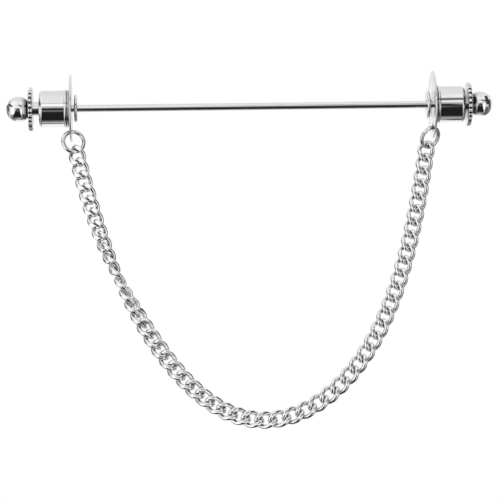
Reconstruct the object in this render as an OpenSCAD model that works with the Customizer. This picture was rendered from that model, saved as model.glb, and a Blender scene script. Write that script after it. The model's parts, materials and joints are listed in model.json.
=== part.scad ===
// Collar bar: a straight bar that goes through the two points of a shirt collar behind the tie knot.
// A spring-loaded ball clutch locks on each end of the bar, and a twisted curb chain hangs from the
// jump rings in the two clutch plates. The origin is the middle of the bar, +X runs along the bar,
// +Z is up and the chain hangs down along -Z.

/* [Bar] */
// Diameter of the bar
bar_d = 1.15; // [0.95:0.05:1.2]
// Distance between the two stop discs
stop_span = 54; // [46:0.5:62]
// Diameter of a stop disc
stop_d = 4.3; // [3:0.1:6]
// Thickness of a stop disc
stop_t = 0.45; // [0.3:0.05:0.8]
// Room for the collar cloth between a stop disc and a clutch plate
seat_gap = 0.4; // [0.2:0.05:0.6]
// Length of bar that reaches into a clutch, from the inner face of its plate
post_reach = 4.2; // [4:0.05:4.4]
// Length of the taper at each end of the bar
bar_nose = 0.35; // [0.1:0.05:0.5]

/* [Clutch plate] */
// Diameter of a clutch plate
plate_d = 10.4; // [9.4:0.1:12]
// Thickness of a clutch plate
plate_t = 0.3; // [0.2:0.05:0.4]
// Diameter of the hole for the jump ring
ring_hole_d = 1.3; // [1.25:0.01:1.4]
// Distance of that hole below the bar
ring_hole_drop = 3.65; // [3.6:0.01:3.8]

/* [Clutch barrel] */
// Diameter of a barrel
barrel_d = 5.6; // [5.4:0.05:5.7]
// Length of a barrel, from the plate to its outer end
barrel_l = 4.7; // [4.5:0.05:5.5]
// Wall of a barrel
barrel_wall = 0.35; // [0.25:0.01:0.4]
// Thickness of the barrel's outer end
barrel_end_t = 0.4; // [0.3:0.05:0.6]
// Length of the chamfer round the outer end
barrel_chamfer_l = 0.42; // [0.2:0.02:0.6]
// Depth of that chamfer
barrel_chamfer_r = 0.3; // [0.1:0.02:0.4]
// Radius of the rolled bead near the plate
bead_r = 0.24; // [0.15:0.01:0.3]
// Distance of the bead's middle from the plate
bead_at = 0.62; // [0.5:0.02:1]
// Height of the bead above the barrel
bead_rise = 0.13; // [0.05:0.01:0.14]

/* [Lock] */
// Diameter of a lock ball
lock_ball_d = 0.9; // [0.8:0.02:0.94]
// Number of lock balls in a clutch
lock_balls = 3; // [2:1:4]
// Slope of the taper sleeve's cone from its axis
taper_angle = 12; // [8:0.5:14]
// Diameter of the plunger's neck
neck_d = 2.2; // [2.1:0.05:2.4]
// Neck that shows between the left barrel and its milled disc at rest
left_neck = 0.95; // [0.8:0.05:1]
// Neck that shows between the right barrel and its milled disc at rest
right_neck = 0.35; // [0.3:0.05:0.5]
// Wire of the plunger spring
spring_wire = 0.2; // [0.15:0.01:0.24]
// Turns of the plunger spring
spring_turns = 3; // [2:1:3]

/* [Finger grip] */
// Diameter of the milled disc
disc_d = 6.8; // [6:0.1:8]
// Thickness of the milled disc
disc_t = 0.68; // [0.5:0.02:0.9]
// Number of notches round the milled disc
disc_notches = 26; // [16:1:32]
// Depth of a notch
notch_depth = 0.3; // [0.15:0.01:0.4]
// Diameter of the ball knob
knob_d = 3.85; // [3.2:0.05:4.6]
// Distance from the milled disc's middle to the knob's middle
knob_at = 1.88; // [1.6:0.02:2.4]
// Diameter of the knob's neck
knob_neck_d = 2.3; // [1.8:0.05:2.6]

/* [Jump rings] */
// Diameter of the ring's wire
ring_wire = 0.6; // [0.55:0.01:0.62]
// Outside diameter of a ring
ring_d = 3.85; // [3.8:0.01:4]
// Width of the cut where a ring was closed
ring_cut = 0.06; // [0.02:0.01:0.12]
// Swing, slant and turn of the left ring, in degrees
left_ring_pose = [-14, 0, 15]; // [-60:1:60]
// Swing, slant and turn of the right ring, in degrees
right_ring_pose = [22, 30, 45]; // [-60:1:60]
// Place of the left ring's cut round the ring, in degrees from its outboard side
left_ring_cut_at = 70; // [0:1:360]
// Place of the right ring's cut round the ring, in degrees from its outboard side
right_ring_cut_at = 35; // [0:1:360]

/* [Chain] */
// Number of links
links = 53; // [45:1:60]
// Distance from link to link where the chain isn't twisted
link_pitch = 2.08; // [2.04:0.01:2.1]
// Diameter of the link wire
link_wire = 0.72; // [0.6:0.01:0.74]
// Half length of a link's wire loop, along its middle line
link_half_l = 1.475; // [1.45:0.005:1.5]
// Half width of a link's wire loop, along its middle line
link_half_w = 1.02; // [1:0.005:1.05]
// Twist that lays each end of a link into its neighbour, in degrees
link_lay = 50; // [45:1:54]
// Thickness of the chain between its two filed faces
chain_t = 1.38; // [1.3:0.01:1.6]
// Turn of the first link about the chain's line, in degrees
first_turn = 15; // [0:1:30]
// Link at which the half turn of the left side starts
turn_from = 2; // [0:0.5:6]
// Link at which that half turn ends
turn_to = 18.5; // [16:0.5:24]
// Length that the half turn takes up
turn_take_up = 2.15; // [0:0.05:2.4]
// How far off level the bar is held, in degrees
lean = 0.5; // [-5:0.1:5]
// How far the chain lies off a true hanging curve: waves of two, three and four half lengths
lie = [1.08, -0.36, -0.29]; // [-1.2:0.01:1.2]
// Slack between the end link's wire and the jump ring's wire
end_slack = 0.11; // [0.1:0.005:0.14]

/* [Hidden] */
$fn = 96;
SIDES = [-1, 1];
LINKS_PER_GROUP = 4;
groups = floor(links / LINKS_PER_GROUP);
CHAIN_NODES = [for (g = [1:groups]) str("chain_", g < 10 ? "0" : "", g)];
CLUTCH_NODES = ["plate", "barrel", "taper_sleeve", "ball_cage", "lock_balls", "spring", "plunger_stem",
    "milled_disc", "ball_knob", "jump_ring"];

// Clearances all round: a soldered or pressed seat, a plunger's neck in its barrel, the bar in a clutch
// and a taper sleeve in its barrel
seat_fit = 0.01;
neck_fit = 0.07;
post_fit = 0.08;
sleeve_fit = 0.06;
// Gaps on one side: a sleeve off its plate, a lock ball off the bar, off its window and off the cone, a
// spring's end off its seat, and a ring's wire off the lower edge of its hole
sleeve_gap = 0.05;
ball_gap = 0.02;
cone_gap = 0.03;
spring_gap = 0.02;
ring_gap = 0.25;
// How far a cut runs past the face it opens
past = 1;

// Along a clutch, all from the inner face of its plate outwards
plate_x = stop_span / 2 + stop_t + seat_gap;
barrel_end = plate_t + barrel_l;
shell_end = barrel_end - barrel_end_t;
barrel_bore_r = barrel_d / 2 - barrel_wall;
post_bore_r = bar_d / 2 + post_fit;
sleeve_from = plate_t + sleeve_gap;
cone_from = 0.75;
sleeve_to = 2.3;

// Along a plunger, all from the inner face of its milled disc back towards the plate
flange_from = 2.6;
flange_to = 2.9;
flange_r = 1.9;
cage_to = 4.3;
ball_back = 3.75;
cage_r = 1.2;
stem_bore_end = 0.85;
spigot_r = 0.68;
spigot_l = disc_t + 1;
socket_gap = 0.1;
notch_slope = 0.8;

ball_r = lock_ball_d / 2;
ball_ring_r = bar_d / 2 + ball_r + ball_gap;
right_ball_u = barrel_end + right_neck - ball_back;
cone_r_at_ball = ball_ring_r + (ball_r + cone_gap) / cos(taper_angle);

function neck(side) = side < 0 ? left_neck : right_neck;
function disc_u(side) = barrel_end + neck(side);
function cone_r(u) = cone_r_at_ball + (u - right_ball_u) * tan(taper_angle);

// Rings and chain
ring_mid_r = (ring_d - ring_wire) / 2;
wire_pass = plate_x + plate_t / 2;
wire_drop = ring_hole_drop + (ring_hole_d - ring_wire) / 2 - ring_gap;
end_seat = link_half_l - (ring_wire + link_wire) / 2 - end_slack;

function unit(v) = v / norm(v);
function sinh(x) = (exp(x) - exp(-x)) / 2;
function cosh(x) = (exp(x) + exp(-x)) / 2;
function asinh(x) = ln(x + sqrt(x * x + 1));
function atanh(x) = ln((1 + x) / (1 - x)) / 2;
function smooth(u) = let (c = max(0, min(1, u))) c * c * (3 - 2 * c);

// The point where a ring's wire passes its plate, and the far point of the ring, where the chain hangs
function ring_top(side) = [side * wire_pass, 0, -wire_drop];
function ring_pose(side) = side < 0 ? left_ring_pose : right_ring_pose;
function hang_line(pose) = [-sin(pose[0]) * cos(pose[1]), sin(pose[1]), -cos(pose[0]) * cos(pose[1])];
function ring_foot(side) = ring_top(side) + 2 * ring_mid_r * hang_line(ring_pose(side));

// The hanging curve: a catenary through both ring feet, with its own level and upright directions, and the
// small waves in which a twisted chain lies off it
up = [sin(lean), 0, cos(lean)];
foot_line = ring_foot(1) - ring_foot(-1);
rise = foot_line * up;
run = norm(foot_line - rise * up);
level = unit(foot_line - rise * up);
face = cross(level, up);
chain_l = 2 * end_seat + (links - 1) * link_pitch - turn_take_up;

// Half the distance over which the direction of the chain's line is read
reading_step = 0.05;

// Solves sinh(x) / x = ratio by halving the range
function solve_sag(ratio, low, high, steps) =
    let (mid = (low + high) / 2)
    steps == 0 ? mid
    : sinh(mid) / mid > ratio ? solve_sag(ratio, low, mid, steps - 1)
    : solve_sag(ratio, mid, high, steps - 1);
sag_x = solve_sag(sqrt(chain_l * chain_l - rise * rise) / run, 0.01, 8, 40);
sag_a = run / (2 * sag_x);
start_x = sag_a * atanh(rise / chain_l) - run / 2;
start_s = sag_a * sinh(start_x / sag_a);

function turned(i) = smooth((i - turn_from) / (turn_to - turn_from));
function link_s(i) = start_s + end_seat + i * link_pitch - turn_take_up * turned(i);
function link_turn(i) = first_turn + (180 - first_turn) * turned(i);
function off_line(s) = let (u = 180 * (s - start_s) / chain_l) lie * [sin(2 * u), sin(3 * u), sin(4 * u)];
function hang_point(s) = ring_foot(-1) + (sag_a * asinh(s / sag_a) - start_x) * level
    + (sqrt(sag_a * sag_a + s * s) - sag_a * cosh(start_x / sag_a)) * up
    + off_line(s) * unit(sag_a * up - s * level);
function hang_dir(s) = unit(hang_point(s + reading_step) - hang_point(s - reading_step));

// One link: an oval of wire that is twisted about its long axis and filed flat on both faces
LINK_STEPS = 16;
WIRE_SIDES = 8;
function loop_point(t) = let (lay = link_lay * cos(t), w = link_half_w * sin(t))
    [link_half_l * cos(t), w * cos(lay), -w * sin(lay)];
function filed(p) = [p.x, p.y, max(-chain_t / 2, min(chain_t / 2, p.z))];
function wire_ring(t) =
    let (c = loop_point(t), along = unit(loop_point(t + 1) - loop_point(t - 1)),
         out = unit(c - (c * along) * along), side = cross(along, out))
    [for (k = [0:WIRE_SIDES - 1]) let (a = 360 * k / WIRE_SIDES)
        filed(c + link_wire / 2 * (cos(a) * out + sin(a) * side))];
link_points = [for (j = [0:LINK_STEPS - 1]) each wire_ring(360 * j / LINK_STEPS)];
function at_ring(j, k) = (j % LINK_STEPS) * WIRE_SIDES + k % WIRE_SIDES;
link_faces = [for (j = [0:LINK_STEPS - 1], k = [0:WIRE_SIDES - 1]) each [
    [at_ring(j, k), at_ring(j, k + 1), at_ring(j + 1, k)],
    [at_ring(j, k + 1), at_ring(j + 1, k + 1), at_ring(j + 1, k)]]];

module chain_link(i) {
    s = link_s(i);
    along = hang_dir(s);
    across = cross(face, along);
    a = link_turn(i);
    y = cos(a) * across + sin(a) * face;
    z = cos(a) * face - sin(a) * across;
    origin = hang_point(s);
    polyhedron([for (p = link_points) origin + p.x * along + p.y * y + p.z * z], link_faces);
}

module chain_group(g) {
    first = g * LINKS_PER_GROUP;
    last = g == groups - 1 ? links - 1 : first + LINKS_PER_GROUP - 1;
    color("silver") for (i = [first:last]) chain_link(i);
}

// Puts a piece drawn along +Z from a plate's inner face on its end of the bar
module on_bar(side) {
    translate([side * plate_x, 0, 0]) rotate([0, side * 90, 0]) children();
}

// A round plate with a full round rim, between the heights 0 and t
module rimmed_plate(d, t) {
    rotate_extrude() {
        square([(d - t) / 2, t]);
        translate([(d - t) / 2, t / 2]) circle(d = t);
    }
}

module bar() {
    half = plate_x + post_reach;
    tip_r = bar_d / 2 - bar_nose / 2;
    color("silver") rotate([0, 90, 0]) rotate_extrude() polygon([
        [0, -half], [tip_r, -half], [bar_d / 2, -half + bar_nose],
        [bar_d / 2, half - bar_nose], [tip_r, half], [0, half]]);
}

module stop_disc(side) {
    color("silver") on_bar(side) translate([0, 0, -seat_gap - stop_t]) difference() {
        rimmed_plate(stop_d, stop_t);
        translate([0, 0, -past]) cylinder(r = bar_d / 2 + seat_fit, h = stop_t + 2 * past);
    }
}

module plate(side) {
    color("silver") on_bar(side) difference() {
        rimmed_plate(plate_d, plate_t);
        translate([0, 0, -past]) cylinder(r = post_bore_r, h = plate_t + 2 * past);
        translate([side * ring_hole_drop, 0, -past]) cylinder(d = ring_hole_d, h = plate_t + 2 * past);
    }
}

module barrel(side) {
    r = barrel_d / 2;
    foot_rise = 0.08;
    foot_t = 0.16;
    color("silver") on_bar(side) rotate_extrude() difference() {
        union() {
            polygon([[0, plate_t], [r + foot_rise, plate_t], [r + foot_rise, plate_t + foot_t],
                [r, plate_t + foot_t + foot_rise], [r, barrel_end - barrel_chamfer_l],
                [r - barrel_chamfer_r, barrel_end], [0, barrel_end]]);
            translate([r + bead_rise - bead_r, plate_t + bead_at]) circle(r = bead_r);
        }
        translate([-past, plate_t - past]) square([past + barrel_bore_r, shell_end - plate_t + past]);
        translate([-past, shell_end - past])
            square([past + neck_d / 2 + neck_fit, barrel_end_t + 2 * past]);
    }
}

module taper_sleeve(side) {
    r = barrel_bore_r - sleeve_fit;
    color("goldenrod") on_bar(side) rotate_extrude() polygon([
        [post_bore_r, sleeve_from], [r, sleeve_from], [r, sleeve_to], [cone_r(sleeve_to), sleeve_to],
        [cone_r(cone_from), cone_from], [post_bore_r, cone_from]]);
}

// Puts a piece drawn along +Z on a plunger, this far back from the inner face of its milled disc
module in_plunger(side, back) {
    on_bar(side) translate([0, 0, disc_u(side) - back]) children();
}

module ball_cage(side) {
    color("goldenrod") in_plunger(side, cage_to) difference() {
        cylinder(r = cage_r, h = cage_to - flange_to);
        translate([0, 0, -past]) cylinder(r = post_bore_r, h = cage_to - flange_to + 2 * past);
        for (i = [0:lock_balls - 1])
            translate([0, 0, cage_to - ball_back]) rotate([0, 0, 360 * i / lock_balls])
                rotate([0, 90, 0]) cylinder(r = ball_r + ball_gap, h = cage_r + past);
    }
}

module lock_ball_set(side) {
    color("gray") in_plunger(side, ball_back) for (i = [0:lock_balls - 1])
        rotate([0, 0, 360 * i / lock_balls]) translate([ball_ring_r, 0, 0]) sphere(r = ball_r);
}

module plunger_stem(side) {
    color("goldenrod") in_plunger(side, flange_to) rotate_extrude() polygon([
        [post_bore_r, 0], [flange_r, 0], [flange_r, flange_to - flange_from],
        [neck_d / 2, flange_to - flange_from], [neck_d / 2, flange_to], [spigot_r, flange_to],
        [spigot_r, flange_to + spigot_l], [0, flange_to + spigot_l], [0, flange_to - stem_bore_end],
        [post_bore_r, flange_to - stem_bore_end]]);
}

module milled_disc(side) {
    reach = 2 * notch_depth;
    half_w = notch_slope * reach;
    color("silver") in_plunger(side, 0) difference() {
        rimmed_plate(disc_d, disc_t);
        translate([0, 0, -past]) cylinder(r = spigot_r + seat_fit, h = disc_t + 2 * past);
        for (i = [0:disc_notches - 1]) rotate([0, 0, 360 * (i + 0.5) / disc_notches])
            translate([disc_d / 2 - notch_depth, 0, -past]) linear_extrude(disc_t + 2 * past)
                polygon([[0, 0], [reach, half_w], [reach, -half_w]]);
    }
}

module ball_knob(side) {
    face_z = disc_t / 2 - knob_at;
    color("silver") in_plunger(side, -disc_t / 2 - knob_at) rotate_extrude() difference() {
        union() {
            circle(d = knob_d);
            translate([0, face_z]) square([knob_neck_d / 2, knob_at]);
        }
        translate([-knob_d, -knob_d]) square([knob_d, 2 * knob_d]);
        translate([-past, face_z - knob_d]) square([knob_d, knob_d]);
        translate([-past, face_z - past])
            square([past + spigot_r + seat_fit, past + spigot_l - disc_t + socket_gap]);
    }
}

// A compression spring between the plunger's flange and the barrel's end, as one unbroken wire
SPRING_STEPS = 12;
SPRING_SIDES = 6;
spring_r = (neck_d / 2 + flange_r) / 2;
module spring(side) {
    low = disc_u(side) - flange_from + spring_wire / 2 + spring_gap;
    high = shell_end - spring_wire / 2 - spring_gap;
    rings = spring_turns * SPRING_STEPS;
    climb = (high - low) / rings;
    points = [for (j = [0:rings]) let (a = 360 * j / SPRING_STEPS)
        each [for (k = [0:SPRING_SIDES - 1]) let (b = 360 * k / SPRING_SIDES,
            r = spring_r + spring_wire / 2 * cos(b))
            [r * cos(a), r * sin(a), low + climb * j + spring_wire / 2 * sin(b)]]];
    walls = [for (j = [0:rings - 1], k = [0:SPRING_SIDES - 1])
        let (n = (k + 1) % SPRING_SIDES, a = j * SPRING_SIDES, b = a + SPRING_SIDES)
        each [[a + k, a + n, b + k], [a + n, b + n, b + k]]];
    ends = [[for (k = [0:SPRING_SIDES - 1]) SPRING_SIDES - 1 - k],
        [for (k = [0:SPRING_SIDES - 1]) rings * SPRING_SIDES + k]];
    color("gray") on_bar(side) polyhedron(points, concat(walls, ends));
}

module jump_ring(side) {
    pose = ring_pose(side);
    cut = 2 * asin(ring_cut / 2 / ring_mid_r);
    cut_at = side < 0 ? left_ring_cut_at : right_ring_cut_at;
    color("silver") translate(ring_top(side)) rotate([0, pose[0], 0]) rotate([pose[1], 0, 0])
        rotate([0, 0, pose[2]]) translate([0, 0, -ring_mid_r]) rotate([90, 0, 0])
            rotate([0, 0, cut_at + cut / 2]) rotate_extrude(angle = 360 - cut)
                translate([ring_mid_r, 0]) circle(d = ring_wire);
}

module clutch_piece(side, name) {
    if (name == "plate") plate(side);
    if (name == "barrel") barrel(side);
    if (name == "taper_sleeve") taper_sleeve(side);
    if (name == "ball_cage") ball_cage(side);
    if (name == "lock_balls") lock_ball_set(side);
    if (name == "spring") spring(side);
    if (name == "plunger_stem") plunger_stem(side);
    if (name == "milled_disc") milled_disc(side);
    if (name == "ball_knob") ball_knob(side);
    if (name == "jump_ring") jump_ring(side);
}

bar();
for (side = SIDES) let (hand = side < 0 ? "left_" : "right_") {
    stop_disc(side);
    for (n = CLUTCH_NODES) clutch_piece(side, n);
}
for (g = [0:groups - 1]) chain_group(g);
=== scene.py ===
import json
import math
import bmesh
import bpy
from mathutils import Matrix, Vector


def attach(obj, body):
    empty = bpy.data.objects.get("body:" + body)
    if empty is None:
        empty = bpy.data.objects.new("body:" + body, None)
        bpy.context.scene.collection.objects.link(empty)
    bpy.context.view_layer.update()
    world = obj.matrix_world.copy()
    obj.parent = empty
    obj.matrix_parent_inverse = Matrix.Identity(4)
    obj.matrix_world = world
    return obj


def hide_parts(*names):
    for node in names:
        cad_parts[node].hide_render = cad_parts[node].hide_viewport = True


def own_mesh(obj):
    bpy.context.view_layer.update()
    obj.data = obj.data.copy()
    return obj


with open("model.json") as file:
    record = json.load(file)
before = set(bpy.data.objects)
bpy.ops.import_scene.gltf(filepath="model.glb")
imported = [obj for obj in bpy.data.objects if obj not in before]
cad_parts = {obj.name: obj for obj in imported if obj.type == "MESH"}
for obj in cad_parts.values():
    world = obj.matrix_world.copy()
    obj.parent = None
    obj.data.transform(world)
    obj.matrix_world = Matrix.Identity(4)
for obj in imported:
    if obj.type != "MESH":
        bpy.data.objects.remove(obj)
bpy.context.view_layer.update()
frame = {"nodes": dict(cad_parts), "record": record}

# Sizes in mm and angles in degrees, most under the names that the part's source gives them. Places along
# a clutch are read outwards from the inner face of its plate.
MM = 0.001
SIDES = {"left": -1, "right": 1}
BAR_D, BAR_NOSE, POST_REACH, POST_FIT = 1.15, 0.35, 4.2, 0.08
STOP_SPAN, STOP_D, STOP_T, SEAT_GAP, SEAT_FIT = 54, 4.3, 0.45, 0.4, 0.01
PLATE_D, PLATE_T = 10.4, 0.3
RING_HOLE_D, RING_HOLE_DROP, RING_GAP = 1.3, 3.65, 0.25
BARREL_D, BARREL_L, BARREL_WALL, BARREL_END_T = 5.6, 4.7, 0.35, 0.4
BARREL_CHAMFER_L, BARREL_CHAMFER_R = 0.42, 0.3
BEAD_R, BEAD_AT, BEAD_RISE = 0.24, 0.62, 0.13
FOOT_RISE, FOOT_T = 0.08, 0.16
NECK_D, NECK_FIT, NECK = 2.2, 0.07, {"left": 0.95, "right": 0.35}
FLANGE_FROM, FLANGE_R = 2.6, 1.9
SPIGOT_R, SPIGOT_PAST_DISC, SOCKET_GAP = 0.68, 1, 0.1
SPRING_WIRE, SPRING_TURNS, SPRING_GAP = 0.2, 3, 0.02
DISC_D, DISC_T, DISC_NOTCHES, NOTCH_DEPTH, NOTCH_SLOPE = 6.8, 0.68, 26, 0.3, 0.8
KNOB_D, KNOB_AT, KNOB_NECK_D = 3.85, 1.88, 2.3
RING_D, RING_WIRE, RING_CUT = 3.85, 0.6, 0.06
RING_POSE = {"left": (-14, 0, 15), "right": (22, 30, 45)}
RING_CUT_AT = {"left": 70, "right": 35}
LINKS, LINKS_PER_GROUP = 53, 4
LINK_PITCH, LINK_WIRE, LINK_HALF_L, LINK_HALF_W = 2.08, 0.72, 1.475, 1.02
LINK_LAY, CHAIN_T = 50, 1.38
FIRST_TURN, TURN_FROM, TURN_TO, TURN_TAKE_UP = 15, 2, 18.5, 2.15
LEAN, LIE, END_SLACK = 0.5, (1.08, -0.36, -0.29), 0.11

PLATE_X = STOP_SPAN / 2 + STOP_T + SEAT_GAP
BARREL_END = PLATE_T + BARREL_L
SHELL_END = BARREL_END - BARREL_END_T
SPIGOT_BORE = SPIGOT_R + SEAT_FIT
RING_MID = (RING_D - RING_WIRE) / 2
WIRE_PASS = PLATE_X + PLATE_T / 2
WIRE_DROP = RING_HOLE_DROP + (RING_HOLE_D - RING_WIRE) / 2 - RING_GAP
END_SEAT = LINK_HALF_L - (RING_WIRE + LINK_WIRE) / 2 - END_SLACK
CHAIN_L = 2 * END_SEAT + (LINKS - 1) * LINK_PITCH - TURN_TAKE_UP

# Camera: the photograph's view, a little from below and from the left
LOOK_AT = Vector((0, 0, -22)) * MM
DISTANCE = 363 * MM
YAW, PITCH, ROLL = (math.radians(a) for a in (2.8, 14.1, -1.5))
# The photograph's side, the place in it of the point looked at, both in pixels, and its scale
IMAGE = 500
CENTRE_X, CENTRE_Y = 256.0, 244.6
MM_PER_PIXEL = 0.1523
SENSOR = 36
CLIP_START, CLIP_END = 0.01, 10

ahead = Vector((math.sin(YAW) * math.cos(PITCH), math.cos(YAW) * math.cos(PITCH), math.sin(PITCH)))
level_right = ahead.cross(Vector((0, 0, 1))).normalized()
level_up = level_right.cross(ahead)
right = level_right * math.cos(ROLL) + level_up * math.sin(ROLL)
up = level_up * math.cos(ROLL) - level_right * math.sin(ROLL)


def set_camera():
    camera = bpy.data.objects.new("camera", bpy.data.cameras.new("camera"))
    bpy.context.scene.collection.objects.link(camera)
    turn = Matrix((right, up, -ahead)).transposed()
    camera.matrix_world = Matrix.Translation(LOOK_AT - ahead * DISTANCE) @ turn.to_4x4()
    camera.data.sensor_width = SENSOR
    camera.data.lens = DISTANCE / (MM_PER_PIXEL * MM) / IMAGE * SENSOR
    camera.data.shift_x = (IMAGE / 2 - CENTRE_X) / IMAGE
    camera.data.shift_y = (CENTRE_Y - IMAGE / 2) / IMAGE
    camera.data.clip_start = CLIP_START
    camera.data.clip_end = CLIP_END
    bpy.context.scene.camera = camera
    bpy.context.scene.view_settings.view_transform = "Standard"


class Nodes:
    """Builds a node tree from small calls. A value may be a number, a tuple or another node's socket."""
    def __init__(self, tree):
        tree.nodes.clear()
        self.new = tree.nodes.new
        self.link = tree.links.new

    def put(self, socket, value):
        if isinstance(value, bpy.types.NodeSocket):
            self.link(value, socket)
        else:
            socket.default_value = value

    def math(self, operation, *values):
        node = self.new("ShaderNodeMath")
        node.operation = operation
        for socket, value in zip(node.inputs, values):
            self.put(socket, value)
        return node.outputs[0]

    def add(self, a, b):
        return self.math("ADD", a, b)

    def mul(self, a, b):
        return self.math("MULTIPLY", a, b)

    def line(self, x, kx, y, ky, k):
        """kx * x + ky * y + k"""
        return self.add(self.math("MULTIPLY_ADD", x, kx, k), self.mul(y, ky))

    def step(self, value, start, end, low=0.0, high=1.0):
        """A smooth step from low at start to high at end"""
        node = self.new("ShaderNodeMapRange")
        node.interpolation_type = "SMOOTHSTEP"
        for socket, setting in zip(node.inputs, (value, start, end, low, high)):
            self.put(socket, setting)
        return node.outputs[0]

    def band(self, value, low, high, soft):
        """1 between low and high, and 0 elsewhere"""
        return self.mul(self.step(value, low - soft, low + soft),
                        self.step(value, high - soft, high + soft, 1.0, 0.0))

    def mix(self, t, a, b):
        """a where t is 0 and b where it is 1"""
        return self.math("MULTIPLY_ADD", self.math("SUBTRACT", b, a), t, a)

    def vector(self, operation, *values):
        node = self.new("ShaderNodeVectorMath")
        node.operation = operation
        for socket, value in zip(node.inputs, values):
            self.put(socket, value)
        return node.outputs["Value" if operation == "DOT_PRODUCT" else "Vector"]

    def noise(self, place, scale, detail):
        node = self.new("ShaderNodeTexNoise")
        self.put(node.inputs["Vector"], place)
        node.inputs["Scale"].default_value = scale
        node.inputs["Detail"].default_value = detail
        return node.outputs[0]

    def mix_colour(self, t, a, b):
        node = self.new("ShaderNodeMix")
        node.data_type = "RGBA"
        t_socket, a_socket, b_socket = node.inputs[0], node.inputs[6], node.inputs[7]
        self.put(t_socket, t)
        self.put(a_socket, a)
        self.put(b_socket, b)
        return node.outputs[2]


# The studio is a pale room, laid out as a mirror ball shows it from the camera. x runs to the right and y
# downwards, and both reach 1 at the ball's edge.
# Ceiling: start and end of its fade, brightness straight overhead and further off
CEILING = (-0.95, -0.35, 0.78, 0.84)
# Walls at the camera's height, and the pale floor: start and end of the edge above, brightness
LEVELS = ((-0.27, -0.24, 0.6), (0.8, 0.86, 0.95))
# Areas: left, right, top, bottom, softness of the upright and the level edges, brightness, strength
AREAS = (
    (-0.5, -0.1, -0.62, -0.28, 0.04, 0.04, 1.05, 0.8),       # left ceiling lamp
    (0.1, 0.3, -0.52, -0.28, 0.04, 0.04, 1.05, 0.6),         # right ceiling lamp
    (-0.4, 0.35, -0.275, -0.235, 0.012, 0.012, 0.25, 0.45),  # shade under the ceiling's edge
    (-0.8, 0.3, -0.235, -0.12, 0.02, 0.02, 1.1, 1),          # strip light
    (-0.6, -0.29, -0.13, 0.38, 0.03, 0.03, 1.2, 1),          # left window
    (0.19, 0.38, -0.04, 0.44, 0.03, 0.03, 1.2, 1),           # right window
    (-0.6, -0.15, 0.45, 0.8, 0.05, 0.05, 0.22, 0.9),         # dim lower left corner
    (0.36, 0.66, 0.24, 0.82, 0.05, 0.05, 0.08, 0.92),        # dark lower right corner
    (0.64, 0.88, 0.2, 0.7, 0.05, 0.05, 0.16, 0.85),          # its dim side
    (-1.1, -0.955, -0.9, 0.9, 0.02, 0.02, 0.95, 1),          # pale backdrop on the left
    (0.86, 1.1, -0.9, 0.6, 0.03, 0.03, 0.95, 1))             # pale backdrop on the right
# The black block below the middle, which is the camera's side of the room: factors of x and y, offset,
# and start and end of each edge
BLOCK_EDGES = (
    (0, 1, 0, -0.07, 0.03),
    (1, 0.55, 0.12, -0.03, 0.03),
    (-1, 0.25, 0.12, -0.03, 0.03),
    (1, 0, 0, -0.46, -0.4),
    (0, -1, 0, -0.7, -0.66))
BLOCK_LIGHT = 0.015
# Areas in front of the block
NEAR_AREAS = (
    (-0.12, 0.1, 0.1, 0.19, 0.05, 0.03, 0.26, 0.6),          # glow on the block
    (-0.5, 0.5, 0.69, 0.745, 0.05, 0.01, 0.12, 1),           # upper dark line of the table's edge
    (-0.5, 0.5, 0.75, 0.79, 0.05, 0.01, 0.6, 1),             # light line of the table's edge
    (-0.5, 0.5, 0.79, 0.84, 0.05, 0.01, 0.12, 1))            # lower dark line of the table's edge
# Dark lamp stands and their arms: x and y of one end, x and y of the other, width, strength
STANDS = (
    (-0.76, -0.42, -0.46, -0.16, 0.14, 0.97),
    (-0.72, -0.3, -0.76, 0.16, 0.12, 0.85),
    (-0.86, -0.35, -0.84, 0.45, 0.12, 0.7),
    (0.04, -0.24, 0.2, -0.3, 0.14, 0.8),
    (0.2, -0.2, 0.48, -0.3, 0.12, 0.9),
    (0.42, -0.62, 0.58, 0.02, 0.25, 0.97),
    (0.68, -0.36, 0.74, 0.24, 0.18, 0.93),
    (0.12, 0.86, 0.5, 0.72, 0.07, 0.9),
    (-0.62, -0.62, -0.89, -0.1, 0.08, 0.6),
    (-0.7, 0.55, -0.3, 0.86, 0.08, 0.6))
STAND_LIGHT, STAND_SOFT = 0.03, 0.02
# Unevenness of the room: scale and detail of the noise, and its range and the factors that it gives
ROOM_NOISE, ROOM_FACTORS = (2.5, 3), (0.2, 0.8, 0.96, 1.03)
WHITE = (1, 1, 1, 1)


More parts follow.
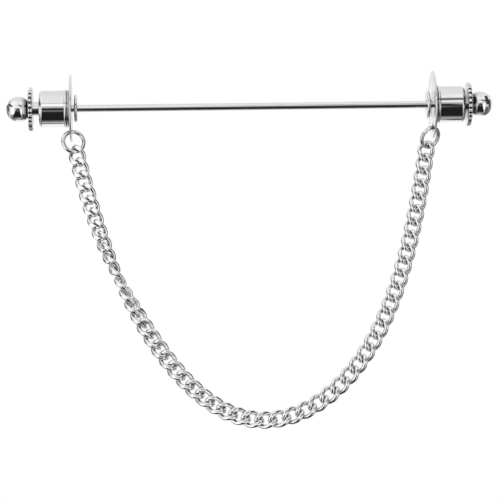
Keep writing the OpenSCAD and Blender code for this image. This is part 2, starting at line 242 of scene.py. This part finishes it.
def studio():
    """The pale room that the metal reflects. The camera and matt surfaces see plain white instead."""
    world = bpy.data.worlds.new("studio")
    bpy.context.scene.world = world
    world.use_nodes = True
    n = Nodes(world.node_tree)
    direction = n.new("ShaderNodeTexCoord").outputs["Generated"]
    half = n.vector("NORMALIZE", n.vector("ADD", direction, tuple(-ahead)))
    x = n.vector("DOT_PRODUCT", half, tuple(right))
    y = n.vector("DOT_PRODUCT", half, tuple(-up))

    def with_areas(light, areas):
        for left, right_, top, bottom, soft_x, soft_y, bright, strength in areas:
            area = n.mul(n.band(x, left, right_, soft_x), n.band(y, top, bottom, soft_y))
            light = n.mix(n.mul(area, strength), light, bright)
        return light

    light = n.step(y, *CEILING)
    for start, end, bright in LEVELS:
        light = n.mix(n.step(y, start, end), light, bright)
    light = with_areas(light, AREAS)
    block = 1.0
    for kx, ky, k, start, end in BLOCK_EDGES:
        block = n.mul(block, n.step(n.line(x, kx, y, ky, k), start, end))
    light = n.mix(block, light, BLOCK_LIGHT)
    light = with_areas(light, NEAR_AREAS)
    for x0, y0, x1, y1, wide, strength in STANDS:
        length = math.hypot(x1 - x0, y1 - y0)
        dx, dy = (x1 - x0) / length, (y1 - y0) / length
        along = n.line(x, dx, y, dy, -(x0 * dx + y0 * dy))
        beside = n.line(x, -dy, y, dx, x0 * dy - y0 * dx)
        stroke = n.mul(n.band(along, 0, length, STAND_SOFT), n.band(beside, -wide / 2, wide / 2, STAND_SOFT))
        light = n.mix(n.mul(stroke, strength), light, STAND_LIGHT)
    light = n.mul(light, n.step(n.noise(direction, *ROOM_NOISE), *ROOM_FACTORS))

    reflections = n.new("ShaderNodeBackground")
    n.put(reflections.inputs["Color"], light)
    plain = n.new("ShaderNodeBackground")
    n.put(plain.inputs["Color"], WHITE)
    rays = n.new("ShaderNodeLightPath").outputs
    shown = n.new("ShaderNodeMixShader")
    n.put(shown.inputs[0], n.math("MAXIMUM", rays["Is Camera Ray"], rays["Is Diffuse Ray"]))
    n.link(reflections.outputs[0], shown.inputs[1])
    n.link(plain.outputs[0], shown.inputs[2])
    n.link(shown.outputs[0], n.new("ShaderNodeOutputWorld").inputs["Surface"])


# Materials. Scales of noise are in repeats to a metre.
SILVER = (0.93, 0.93, 0.935)
RING_SILVER = (0.85, 0.85, 0.855)
CHAIN_SILVER = (0.985, 0.985, 0.985)
BRASS = (0.83, 0.62, 0.3)
STEEL = (0.6, 0.6, 0.62)
# How strongly tarnish dulls red, green and blue
TARNISH_BY_CHANNEL = (0.8, 1.0, 1.3)
# Painted shade: the colour put into crevices and between parts, where the room's light hardly reaches
PAINTED_CREVICE_SHADE = (0.09, 0.09, 0.095, 1)
INDEX = 2.2
# Patches: scale and detail of the noise, and the range in which they show
POLISH_NOISE, POLISH_RANGE = (900, 4), (0.3, 0.75)
TARNISH_NOISE, TARNISH_RANGE = (350, 5), (0.42, 0.7)
# Two sets of hairline scratches: stretch and turn of the noise, and the range in which they show
HAIRS = (((0.06, 1, 1), (0.4, 0.7, 0.9), (0.66, 0.74)), ((1, 0.05, 1), (1.1, 0.3, 0.2), (0.67, 0.75)))
HAIR_DETAIL = 2
LATHE_SCALE, LATHE_DETAIL = 22000, 2
AO_SAMPLES = 8


def metal(name, colour, rough, uneven, hair_scale, hair_depth, turned=0.0, tarnish=0.0, painted_shade=0.0,
          reach=0.6, shaded=(0.15, 0.85)):
    """Polished or turned metal. Patches and hairline scratches make it rougher by uneven, tarnish dulls it in
    patches, and turned gives it faint lathe rings round the bar's axis. Its last three arguments paint shade
    into crevices and between parts: where surfaces nearer than reach (mm) leave it open by less than the
    shaded range, the colour is darkened towards a painted crevice shade, by up to the first of them. Heights
    are in metres."""
    material = bpy.data.materials.new(name)
    material.use_nodes = True
    n = Nodes(material.node_tree)
    at = n.new("ShaderNodeTexCoord").outputs["Object"]
    shader = n.new("ShaderNodeBsdfPrincipled")
    shader.inputs["Metallic"].default_value = 1.0
    shader.inputs["IOR"].default_value = INDEX

    scratches = []
    for stretch, turn, shown in HAIRS:
        place = n.new("ShaderNodeMapping")
        n.put(place.inputs["Vector"], at)
        n.put(place.inputs["Rotation"], turn)
        n.put(place.inputs["Scale"], stretch)
        scratches.append(n.step(n.noise(place.outputs[0], hair_scale, HAIR_DETAIL), *shown))
    hairs = n.math("MAXIMUM", *scratches)
    patches = n.step(n.noise(at, *POLISH_NOISE), *POLISH_RANGE, rough, rough + uneven)
    n.put(shader.inputs["Roughness"], n.add(patches, n.mul(hairs, uneven)))

    dull = (*(c * (1 - tarnish * k) for c, k in zip(colour, TARNISH_BY_CHANNEL)), 1)
    base = n.mix_colour(n.step(n.noise(at, *TARNISH_NOISE), *TARNISH_RANGE), (*colour, 1), dull)
    # Painted shade: the colour darkens where ambient occlusion finds other surfaces near, in crevices and
    # between parts
    if painted_shade:
        nearby = n.new("ShaderNodeAmbientOcclusion")
        nearby.samples = AO_SAMPLES
        nearby.inputs["Distance"].default_value = reach * MM
        base = n.mix_colour(n.step(nearby.outputs["AO"], *shaded, painted_shade, 0.0), base, PAINTED_CREVICE_SHADE)
    n.put(shader.inputs["Base Color"], base)

    height = n.mul(hairs, -hair_depth)
    if turned:
        split = n.new("ShaderNodeSeparateXYZ")
        n.put(split.inputs[0], at)
        ripple = n.new("ShaderNodeTexNoise")
        ripple.noise_dimensions = "1D"
        n.put(ripple.inputs["W"], split.outputs["X"])
        n.put(ripple.inputs["Scale"], LATHE_SCALE)
        n.put(ripple.inputs["Detail"], LATHE_DETAIL)
        height = n.add(height, n.mul(ripple.outputs[0], turned))
    bump = n.new("ShaderNodeBump")
    bump.inputs["Strength"].default_value = 1.0
    bump.inputs["Distance"].default_value = 1.0
    n.put(bump.inputs["Height"], height)
    n.put(shader.inputs["Normal"], bump.outputs[0])
    n.link(shader.outputs[0], n.new("ShaderNodeOutputMaterial").inputs["Surface"])
    return material


def plated(name, turned=4e-8, rough=0.035, uneven=0.045, **painted_shade):
    """Polished silver plate, with its own painted shade in crevices"""
    return metal(name, SILVER, rough, uneven, 5200, 1.2e-7, turned=turned, tarnish=0.03, **painted_shade)


# All but the brass and the steel paint shade into their crevices and where parts meet, by their last settings
polished_plate = plated("polished plate", painted_shade=0.35)
milled_edge = plated("milled edge", turned=0.0, rough=0.05, uneven=0.05,
                     painted_shade=0.97, reach=0.4, shaded=(0.62, 0.9))
barrel_plate = plated("barrel plate", painted_shade=0.92, reach=0.9, shaded=(0.5, 0.9))
knob_plate = plated("knob plate", painted_shade=0.95, reach=2.2, shaded=(0.3, 0.82))
ring_wire = metal("ring wire", RING_SILVER, 0.04, 0.04, 6500, 2e-7, tarnish=0.05,
                  painted_shade=0.9, reach=0.9, shaded=(0.35, 0.9))
chain_wire = metal("chain wire", CHAIN_SILVER, 0.13, 0.05, 6500, 2e-7, tarnish=0.04,
                   painted_shade=0.93, reach=0.5, shaded=(0.1, 0.66))
turned_brass = metal("turned brass", BRASS, 0.2, 0.12, 4000, 3e-7, turned=3e-7, tarnish=0.18)
spring_steel = metal("spring steel", STEEL, 0.22, 0.1, 5000, 3e-7, tarnish=0.1)
MATERIALS = {"polished_metal": polished_plate, "chain_metal": chain_wire, "inner_brass": turned_brass,
             "spring_steel": spring_steel}

# What the frame says of the nodes: material slot, body and, for a joint, its range
SLOTS = {row["node"]: row["material_slot"] for row in frame["record"]["subparts"]}
BEHAVIOUR = frame["record"]["behaviour"]
BODY_OF = {node: body for body, nodes in BEHAVIOUR["bodies"].items() for node in nodes}


def dress_nodes():
    for node, obj in frame["nodes"].items():
        obj.data.materials.clear()
        obj.data.materials.append(MATERIALS[SLOTS[node]])


# Meshes. Points nearer than this are welded, in metres.
WELD = 1e-8
# Radius under which a profile's point is on the axis, in mm
ON_AXIS = 1e-9
# How much of a stretch a rounded corner may take, and the steps of its curve
CORNER_SHARE, CORNER_STEPS = 0.45, 5
# A small edge bends in two steps, the first at this share of its width
EDGE_SHARE = 0.3
# A crease sharper than this many degrees stays crisp
CRISP, MILLED_CRISP, CHAIN_CRISP = 30, 35, 40


def piece(node, points, faces, crisp=CRISP, look=None):
    """A smooth mesh from points in mm that stands for a CAD node"""
    mesh = bpy.data.meshes.new(node + "_fine")
    mesh.from_pydata([tuple(c * MM for c in p) for p in points], [], faces)
    b = bmesh.new()
    b.from_mesh(mesh)
    bmesh.ops.remove_doubles(b, verts=b.verts, dist=WELD)
    bmesh.ops.recalc_face_normals(b, faces=b.faces)
    for face in b.faces:
        face.smooth = True
    for edge in b.edges:
        if len(edge.link_faces) == 2 and edge.calc_face_angle(0) > math.radians(crisp):
            edge.smooth = False
    b.to_mesh(mesh)
    b.free()
    obj = bpy.data.objects.new(node + "_fine", mesh)
    bpy.context.scene.collection.objects.link(obj)
    mesh.materials.append(look or MATERIALS[SLOTS[node]])
    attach(obj, BODY_OF[node])
    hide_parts(node)
    return obj


def grid_faces(rows, count, wrap_rows, wrap_count, on_axis=()):
    """Faces between rows of so many points. Points of a row that are on the axis are the same in all rows."""
    faces = []
    for j in range(rows if wrap_rows else rows - 1):
        k = (j + 1) % rows
        for i in range(count if wrap_count else count - 1):
            h = (i + 1) % count
            face = [j * count + i, j * count + h] + [k * count + p for p in (h, i) if p not in on_axis]
            if len(face) > 2:
                faces.append(face)
    return faces


def tube_faces(rows, count):
    """Faces of a closed tube with flat ends"""
    ends = [list(range(count)), [(rows - 1) * count + k for k in range(count)]]
    return grid_faces(rows, count, False, True) + ends


def turns(count):
    """Angles of so many equal steps of a full turn"""
    return [2 * math.pi * k / count for k in range(count)]


def rounded(corners):
    """A profile with rounded corners, each given as (r, u, radius). The first and the last stay sharp."""
    out = []
    for i, corner in enumerate(corners):
        p, radius = Vector(corner[:2]), corner[2]
        if i in (0, len(corners) - 1) or radius == 0:
            out.append(p)
            continue
        a = Vector(corners[i - 1][:2]) - p
        b = Vector(corners[i + 1][:2]) - p
        radius = min(radius, a.length * CORNER_SHARE, b.length * CORNER_SHARE)
        start, end = p + a.normalized() * radius, p + b.normalized() * radius
        for k in range(CORNER_STEPS + 1):
            t = k / CORNER_STEPS
            out.append(start * (1 - t) ** 2 + p * 2 * t * (1 - t) + end * t * t)
    return out


def arc(cr, cu, radius, start, end, steps):
    """Corners along an arc in the (r, u) plane, with no rounding of their own and angles from the r axis"""
    angles = [math.radians(start + (end - start) * k / steps) for k in range(steps + 1)]
    return [(cr + radius * math.cos(a), cu + radius * math.sin(a), 0) for a in angles]


def full_rim(d, t, steps):
    """The full round rim of a disc of diameter d that lies between the heights 0 and t"""
    return arc((d - t) / 2, t / 2, t / 2, -90, 90, steps)


def lathed(node, side, base, profile, around=160, closed=False, look=None):
    """Turns a profile of (r, u) about the bar's axis, u outwards from base"""
    points = [(side * (base + p[1]), p[0] * math.cos(a), p[0] * math.sin(a))
              for a in turns(around) for p in profile]
    on_axis = {i for i, p in enumerate(profile) if p[0] < ON_AXIS}
    return piece(node, points, grid_faces(around, len(profile), True, closed, on_axis), look=look)


def bar():
    r, half = BAR_D / 2, PLATE_X + POST_REACH
    straight, stretches, nose_round = half - 1, 24, 0.08
    end = rounded([(0, half, 0), (r - BAR_NOSE / 2, half, nose_round), (r, half - BAR_NOSE, nose_round),
                   (r, straight, 0)])
    middle = [(r, straight - k * 2 * straight / stretches) for k in range(1, stretches)]
    lathed("bar", 1, 0, end + middle + [(p[0], -p[1]) for p in reversed(end)], 96)


def stop_disc(hand, side):
    bore = BAR_D / 2 + SEAT_FIT
    profile = [(bore, 0)] + full_rim(STOP_D, STOP_T, 16) + [(bore, STOP_T)]
    lathed(hand + "_stop_disc", side, PLATE_X - SEAT_GAP - STOP_T, profile, closed=True, look=barrel_plate)


def plate(hand, side):
    """A round plate with a full round rim, and with a hole for the post and one for the jump ring"""
    rim_sides, hole_sides, edge = 192, 64, 0.05
    first = edge * EDGE_SHARE
    b = bmesh.new()

    def wall(profile, count, middle_z=0):
        """Faces round a hole or a rim, whose end circles are returned"""
        circles = [[b.verts.new((p[1], p[0] * math.cos(a), middle_z + p[0] * math.sin(a)))
                    for a in turns(count)] for p in profile]
        for low, high in zip(circles, circles[1:]):
            for j in range(count):
                k = (j + 1) % count
                b.faces.new((low[j], low[k], high[k], high[j]))
        return circles[0], circles[-1]

    def hole(r):
        return ((r + edge, 0), (r + first, first), (r, edge),
                (r, PLATE_T - edge), (r + first, PLATE_T - first), (r + edge, PLATE_T))

    walls = [wall(full_rim(PLATE_D, PLATE_T, 10), rim_sides),
             wall(hole(BAR_D / 2 + POST_FIT), hole_sides),
             wall(hole(RING_HOLE_D / 2), hole_sides, -RING_HOLE_DROP)]
    for outlines in zip(*walls):
        edges = [b.edges.get((v, loop[(j + 1) % len(loop)])) for loop in outlines for j, v in enumerate(loop)]
        bmesh.ops.triangle_fill(b, use_beauty=True, use_dissolve=False, edges=edges)
    b.verts.index_update()
    points = [(side * (PLATE_X + v.co.x), v.co.y, v.co.z) for v in b.verts]
    faces = [[v.index for v in f.verts] for f in b.faces]
    b.free()
    piece(hand + "_plate", points, faces)


def barrel(hand, side):
    """A drawn shell with a foot and a rolled bead near the plate, and a chamfer round its outer end"""
    r, neck_bore = BARREL_D / 2, NECK_D / 2 + NECK_FIT
    inner, foot_r, foot_end = r - BARREL_WALL, r + FOOT_RISE, PLATE_T + FOOT_T
    small, soft, chamfer_round, rim_round = 0.03, 0.05, 0.1, 0.08
    bead_middle = r + BEAD_RISE - BEAD_R
    meet = math.degrees(math.acos((r - bead_middle) / BEAD_R))
    outside = [(inner, PLATE_T, 0), (foot_r, PLATE_T, small), (foot_r, foot_end, soft),
               (r, foot_end + FOOT_RISE, soft)]
    outside += arc(bead_middle, PLATE_T + BEAD_AT, BEAD_R, -meet, meet, 14)
    outside += [(r, BARREL_END - BARREL_CHAMFER_L, chamfer_round),
                (r - BARREL_CHAMFER_R, BARREL_END, rim_round), (neck_bore, BARREL_END, soft),
                (neck_bore, SHELL_END, 0), (inner, SHELL_END, 0), (inner, PLATE_T, 0)]
    lathed(hand + "_barrel", side, PLATE_X, rounded(outside)[:-1], 192, closed=True, look=barrel_plate)


def milled_disc(hand, side):
    """The finger grip, whose round rim is cut to V-shaped notches"""
    r, per_notch = DISC_D / 2, 20
    around = DISC_NOTCHES * per_notch
    flat_to = r - DISC_T - 0.02
    base = PLATE_X + BARREL_END + NECK[hand]
    profile = [(SPIGOT_BORE, 0), (flat_to, 0)] + full_rim(DISC_D, DISC_T, 20)
    profile += [(flat_to, DISC_T), (SPIGOT_BORE, DISC_T)]
    points = []
    for a in turns(around):
        # a notch stands at every half step from the upright, as in the source
        off = abs(((a * DISC_NOTCHES / (2 * math.pi)) % 1) - 0.5) * 2 * math.pi / DISC_NOTCHES
        crest = min(r - NOTCH_DEPTH + r * math.sin(off) / NOTCH_SLOPE, r)
        for p in profile:
            q = min(p[0], crest)
            points.append((side * (base + p[1]), q * math.sin(a), -q * math.cos(a)))
    faces = grid_faces(around, len(profile), True, True)
    piece(hand + "_milled_disc", points, faces, MILLED_CRISP, milled_edge)


def ball_knob(hand, side):
    """A ball on a short neck, bored for the plunger's spigot"""
    r, neck_r, socket_end = KNOB_D / 2, KNOB_NECK_D / 2, DISC_T + SPIGOT_PAST_DISC + SOCKET_GAP
    meet = math.asin(neck_r / r)
    centre = DISC_T / 2 + KNOB_AT
    neck_end = centre - r * math.cos(meet) - 0.02
    ball = arc(0, centre, r, -90 + math.degrees(meet), 90, 56)
    profile = [(0, socket_end), (SPIGOT_BORE, socket_end), (SPIGOT_BORE, DISC_T), (neck_r, DISC_T),
               (neck_r, neck_end)] + ball[1:-1] + [(0, centre + r)]
    lathed(hand + "_ball_knob", side, PLATE_X + BARREL_END + NECK[hand], profile, look=knob_plate)


def spring(hand, side):
    """The plunger's compression spring, which the flange presses towards the barrel's end"""
    per_turn, sides, wire = 48, 12, SPRING_WIRE / 2
    middle_r = (NECK_D / 2 + FLANGE_R) / 2
    flange = BARREL_END + NECK[hand] - FLANGE_FROM
    low, high = flange + wire + SPRING_GAP, SHELL_END - wire - SPRING_GAP
    rings = SPRING_TURNS * per_turn
    points = []
    for j in range(rings + 1):
        a = 2 * math.pi * j / per_turn
        for c in turns(sides):
            r = middle_r + wire * math.cos(c)
            u = low + (high - low) * j / rings + wire * math.sin(c)
            points.append((side * (PLATE_X + u), r * math.cos(a), r * math.sin(a)))
    coil = piece(hand + "_spring", points, tube_faces(rings + 1, sides))
    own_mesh(coil)


def ring_matrix(hand, side):
    """Puts a ring that hangs from the origin in its plate's hole, in its pose"""
    swing, slant, spin = (math.radians(a) for a in RING_POSE[hand])
    return (Matrix.Translation((side * WIRE_PASS, 0, -WIRE_DROP)) @ Matrix.Rotation(swing, 4, "Y")
            @ Matrix.Rotation(slant, 4, "X") @ Matrix.Rotation(spin, 4, "Z"))


def ring_foot(hand, side):
    """The far point of a ring, where the chain hangs"""
    return ring_matrix(hand, side) @ Vector((0, 0, -2 * RING_MID))


def jump_ring(hand, side):
    """A ring of wire with a cut, whose two ends have small rounded edges"""
    wire, around, sides, edge = RING_WIRE / 2, 144, 32, 0.04
    first = edge * EDGE_SHARE
    cut = 2 * math.asin(RING_CUT / 2 / RING_MID)
    start, length = math.radians(RING_CUT_AT[hand]) + cut / 2, 2 * math.pi - cut
    middle = Matrix.Translation((0, 0, -RING_MID)) @ Matrix.Rotation(math.radians(90), 4, "X")
    place = ring_matrix(hand, side) @ middle
    ends = [(0, wire - edge), (first, wire - first), (edge, wire)]
    stations = [(s / RING_MID, w) for s, w in ends]
    stations += [(length * k / around, wire) for k in range(1, around)]
    stations += [(length - s / RING_MID, w) for s, w in reversed(ends)]
    points = []
    for s, w in stations:
        a = start + s
        for c in turns(sides):
            r = RING_MID + w * math.cos(c)
            points.append(place @ Vector((r * math.cos(a), r * math.sin(a), w * math.sin(c))))
    piece(hand + "_jump_ring", points, tube_faces(len(stations), sides), look=ring_wire)


def smooth(u):
    c = max(0, min(1, u))
    return c * c * (3 - 2 * c)


class Hanging:
    """The chain's line from foot to foot: a catenary, and the small waves in which the chain lies off it"""
    # Range and steps of the search for the sag, and half the distance over which a direction is read
    LOW, HIGH, STEPS = 0.01, 8, 60
    READING_STEP = 0.05

    def __init__(self):
        lean = math.radians(LEAN)
        self.foot = ring_foot("left", SIDES["left"])
        line = ring_foot("right", SIDES["right"]) - self.foot
        self.up = Vector((math.sin(lean), 0, math.cos(lean)))
        rise = line.dot(self.up)
        flat = line - rise * self.up
        self.level = flat.normalized()
        self.face = self.level.cross(self.up)
        ratio = math.sqrt(CHAIN_L ** 2 - rise ** 2) / flat.length
        low, high = self.LOW, self.HIGH
        for _ in range(self.STEPS):
            middle = (low + high) / 2
            if math.sinh(middle) / middle > ratio:
                high = middle
            else:
                low = middle
        self.a = flat.length / (2 * low)
        self.start_x = self.a * math.atanh(rise / CHAIN_L) - flat.length / 2
        self.start_s = self.a * math.sinh(self.start_x / self.a)

    def point(self, s):
        u = math.pi * (s - self.start_s) / CHAIN_L
        off = sum(wave * math.sin((i + 2) * u) for i, wave in enumerate(LIE))
        return (self.foot + (self.a * math.asinh(s / self.a) - self.start_x) * self.level
                + (math.hypot(self.a, s) - self.a * math.cosh(self.start_x / self.a)) * self.up
                + off * (self.a * self.up - s * self.level).normalized())

    def link(self, i):
        """A link's middle and its three directions"""
        turned = smooth((i - TURN_FROM) / (TURN_TO - TURN_FROM))
        s = self.start_s + END_SEAT + i * LINK_PITCH - TURN_TAKE_UP * turned
        along = (self.point(s + self.READING_STEP) - self.point(s - self.READING_STEP)).normalized()
        across = self.face.cross(along)
        a = math.radians(FIRST_TURN + (180 - FIRST_TURN) * turned)
        return (self.point(s), along, math.cos(a) * across + math.sin(a) * self.face,
                math.cos(a) * self.face - math.sin(a) * across)


def loop_point(t):
    """A point of a link's middle line, an oval that is twisted about its long axis"""
    lay, w = math.radians(LINK_LAY) * math.cos(t), LINK_HALF_W * math.sin(t)
    return Vector((LINK_HALF_L * math.cos(t), w * math.cos(lay), -w * math.sin(lay)))


def filed(z):
    """Clips to the filed faces, with the edge of the flat a little rounded"""
    top, soft = CHAIN_T / 2, 0.03
    a = abs(z)
    if a > top - soft:
        a = top - soft + soft * (1 - math.exp(-(a - top + soft) / soft))
    return math.copysign(min(a, top), z)


def link_mesh():
    """One link about its own middle: a twisted loop of wire, filed flat on both faces"""
    steps, sides, reading_step = 64, 28, 0.02
    points = []
    for t in turns(steps):
        c = loop_point(t)
        along = (loop_point(t + reading_step) - loop_point(t - reading_step)).normalized()
        out = (c - c.dot(along) * along).normalized()
        side = along.cross(out)
        for a in turns(sides):
            p = c + LINK_WIRE / 2 * (math.cos(a) * out + math.sin(a) * side)
            points.append(Vector((p.x, p.y, filed(p.z))))
    return points, grid_faces(steps, sides, True, True)


def chain():
    hanging = Hanging()
    shape, walls = link_mesh()
    groups = LINKS // LINKS_PER_GROUP
    for g in range(groups):
        first = g * LINKS_PER_GROUP
        last = LINKS if g == groups - 1 else first + LINKS_PER_GROUP
        points, faces = [], []
        for i in range(first, last):
            origin, x, y, z = hanging.link(i)
            start = len(points)
            points += [origin + p.x * x + p.y * y + p.z * z for p in shape]
            faces += [[start + v for v in wall] for wall in walls]
        piece(f"chain_{g + 1:02d}", points, faces, CHAIN_CRISP)


# The pale floor: half its side and its height in metres, well under the part, which hangs from its bar
FLOOR_HALF, FLOOR_Z = 3, -0.12
FLOOR_PAINT, FLOOR_ROUGHNESS = (0.9, 0.9, 0.9, 1), 0.9


def floor():
    """A floor that shows in views from above, and that the metal doesn't reflect"""
    mesh = bpy.data.meshes.new("floor")
    corners = [(x * FLOOR_HALF, y * FLOOR_HALF, FLOOR_Z) for x, y in ((-1, -1), (1, -1), (1, 1), (-1, 1))]
    mesh.from_pydata(corners, [], [(0, 1, 2, 3)])
    obj = bpy.data.objects.new("floor", mesh)
    bpy.context.scene.collection.objects.link(obj)
    paint = bpy.data.materials.new("floor")
    paint.use_nodes = True
    shader = paint.node_tree.nodes["Principled BSDF"]
    shader.inputs["Base Color"].default_value = FLOOR_PAINT
    shader.inputs["Roughness"].default_value = FLOOR_ROUGHNESS
    mesh.materials.append(paint)
    obj.visible_glossy = False


set_camera()
studio()
dress_nodes()
bar()
for hand, side in SIDES.items():
    stop_disc(hand, side)
    plate(hand, side)
    barrel(hand, side)
    milled_disc(hand, side)
    ball_knob(hand, side)
    spring(hand, side)
    jump_ring(hand, side)
chain()
floor()
